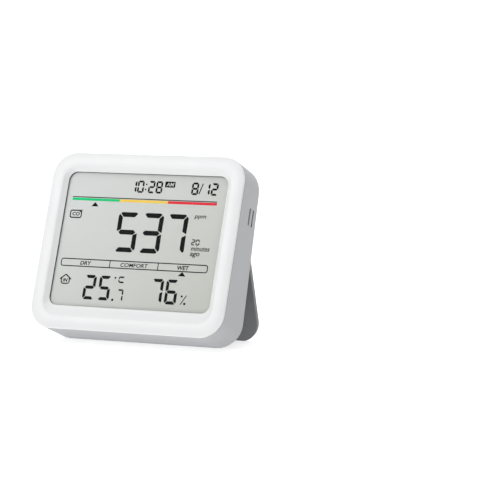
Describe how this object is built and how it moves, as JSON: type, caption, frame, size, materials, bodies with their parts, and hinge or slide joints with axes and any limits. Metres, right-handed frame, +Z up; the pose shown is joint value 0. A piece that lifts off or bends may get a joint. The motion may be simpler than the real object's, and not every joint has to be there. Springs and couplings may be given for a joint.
{
  "type": "air quality monitor",
  "caption": "Desk air quality monitor with a framed segment display in a shallow wedge case, leaning on a fold-out rear stand, with rear buttons and a battery bay.",
  "frame": {"origin": "centre of the footprint box on the surface that the monitor stands on", "axes": "+X to the right across the display, +Y towards the back, +Z up"},
  "size_m": [0.094, 0.0454, 0.0819],
  "materials": {
    "frame_plastic": "satin white moulding",
    "shell_plastic": "fine satin texture",
    "stand_plastic": "fine satin texture",
    "button_plastic": "satin",
    "lens": "clear acrylic",
    "gasket_rubber": "matt",
    "foot_rubber": "matt",
    "lcd_glass": "polarised glass",
    "lcd_back": "glass",
    "reflector": "foil",
    "connector_rubber": "striped silicone",
    "holder_plastic": "moulded",
    "screw_steel": "zinc plated",
    "circuit_board": "solder mask",
    "chip_resin": "moulded resin",
    "component": "ceramic parts",
    "shield_can": "tinned",
    "sensor_gold": "gold plated",
    "port_metal": "nickel",
    "switch_resin": "moulded resin",
    "contact_metal": "nickel plated",
    "cell_sleeve": "printed sleeve",
    "pin_steel": "ground"
  },
  "bodies": {
    "case": {"front_frame": "frame_plastic", "display_lens": "lens", "display_gasket": "gasket_rubber", "lcd_front_glass": "lcd_glass", "lcd_rear_glass": "lcd_back", "lcd_reflector": "reflector", "lcd_connector": "connector_rubber", "display_holder": "holder_plastic", "holder_screws": "screw_steel", "main_board": "circuit_board", "board_screws": "screw_steel", "microcontroller": "chip_resin", "board_components": "component", "radio_module": "shield_can", "gas_sensor": "sensor_gold", "climate_sensor": "chip_resin", "usb_port": "port_metal", "tact_switches": "switch_resin", "battery_contacts": "contact_metal", "battery_springs": "contact_metal", "batteries": "cell_sleeve", "rear_shell": "shell_plastic", "case_screws": "screw_steel"},
    "door": {"battery_door": "shell_plastic"},
    "mode_key": {"mode_button": "button_plastic", "mode_plunger": "switch_resin"},
    "pair_key": {"pair_button": "button_plastic", "pair_plunger": "switch_resin"},
    "stand": {"stand_flap": "stand_plastic", "hinge_pins": "pin_steel", "stand_foot": "foot_rubber"}
  },
  "joints": [
    {"name": "stand_hinge", "type": "hinge", "parent": "case", "child": "stand", "pos_m": [0, 0.01007, 0.03932], "axis": [1, 0, 0], "range_deg": [-33.5, 0]},
    {"name": "door_lift", "type": "slide", "parent": "case", "child": "door", "axis": [0, 0.9573, -0.2891], "range_m": [0, 0.006]},
    {"name": "mode_press", "type": "slide", "parent": "case", "child": "mode_key", "axis": [0, -0.9573, 0.2891], "range_m": [0, 0.0005], "stiffness_N_per_m": 400, "springref_m": -0.0005},
    {"name": "pair_press", "type": "slide", "parent": "case", "child": "pair_key", "axis": [0, -0.9573, 0.2891], "range_m": [0, 0.0005], "stiffness_N_per_m": 400, "springref_m": -0.0005}
  ]
}
